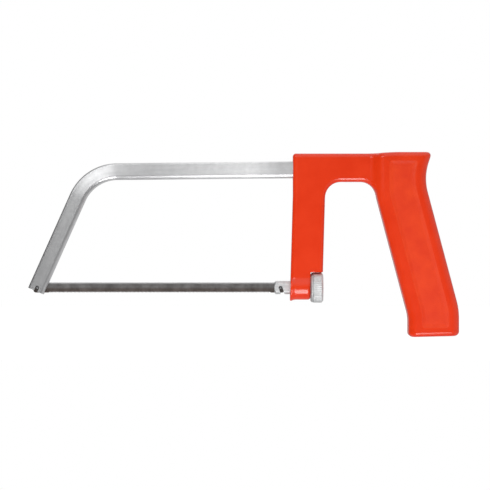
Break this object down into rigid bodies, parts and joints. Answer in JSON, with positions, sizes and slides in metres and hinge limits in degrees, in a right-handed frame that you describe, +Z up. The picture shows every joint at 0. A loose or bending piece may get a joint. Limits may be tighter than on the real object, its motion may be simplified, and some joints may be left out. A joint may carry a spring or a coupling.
{
  "type": "junior hacksaw",
  "caption": "Junior hacksaw with a bent flat-bar bow, a cast pistol-grip handle, a fine pinned blade and a knurled nut that pulls it tight.",
  "frame": {"origin": "middle of the saw's box in plan, level with the lowest point of the butt", "axes": "+X along the blade from the bow's toe to the hand, +Y across the saw, +Z up from the teeth to the bow"},
  "size_m": [0.257, 0.021, 0.1101],
  "materials": {
    "red_lacquer": "gloss red lacquer on a casting",
    "plated_bar": "satin plated",
    "plated_steel": "bright plated",
    "blade_steel": "hardened, grey",
    "pin_steel": "bare"
  },
  "bodies": {
    "frame": {"handle": "red_lacquer", "bow": "plated_bar", "bow_lock_pin": "pin_steel", "thrust_washer": "plated_steel"},
    "tension_nut": {"tension_nut": "plated_steel"},
    "tension_bolt": {"tension_bolt": "plated_steel"},
    "blade_set": {"saw_blade": "blade_steel", "front_blade_pin": "pin_steel", "rear_blade_pin": "pin_steel"}
  },
  "joints": [
    {"name": "nut_turn", "type": "hinge", "parent": "frame", "child": "tension_nut", "pos_m": [0.04432, 0, 0.02935], "axis": [1, 0, 0], "range_deg": [0, 1080]},
    {"name": "bolt_slide", "type": "slide", "parent": "frame", "child": "tension_bolt", "axis": [1, 0, 0], "range_m": [-0.00376, 0]},
    {"name": "blade_swing", "type": "hinge", "parent": "frame", "child": "blade_set", "pos_m": [-0.12308, 0, 0.02935], "axis": [0, 1, 0], "range_deg": [0, 4.57]}
  ],
  "couplings": [
    {"joint": "bolt_slide", "follows": "nut_turn", "m_per_rad": -0.00019894},
    {"joint": "blade_swing", "follows": "nut_turn", "ratio": 0.0042227}
  ]
}
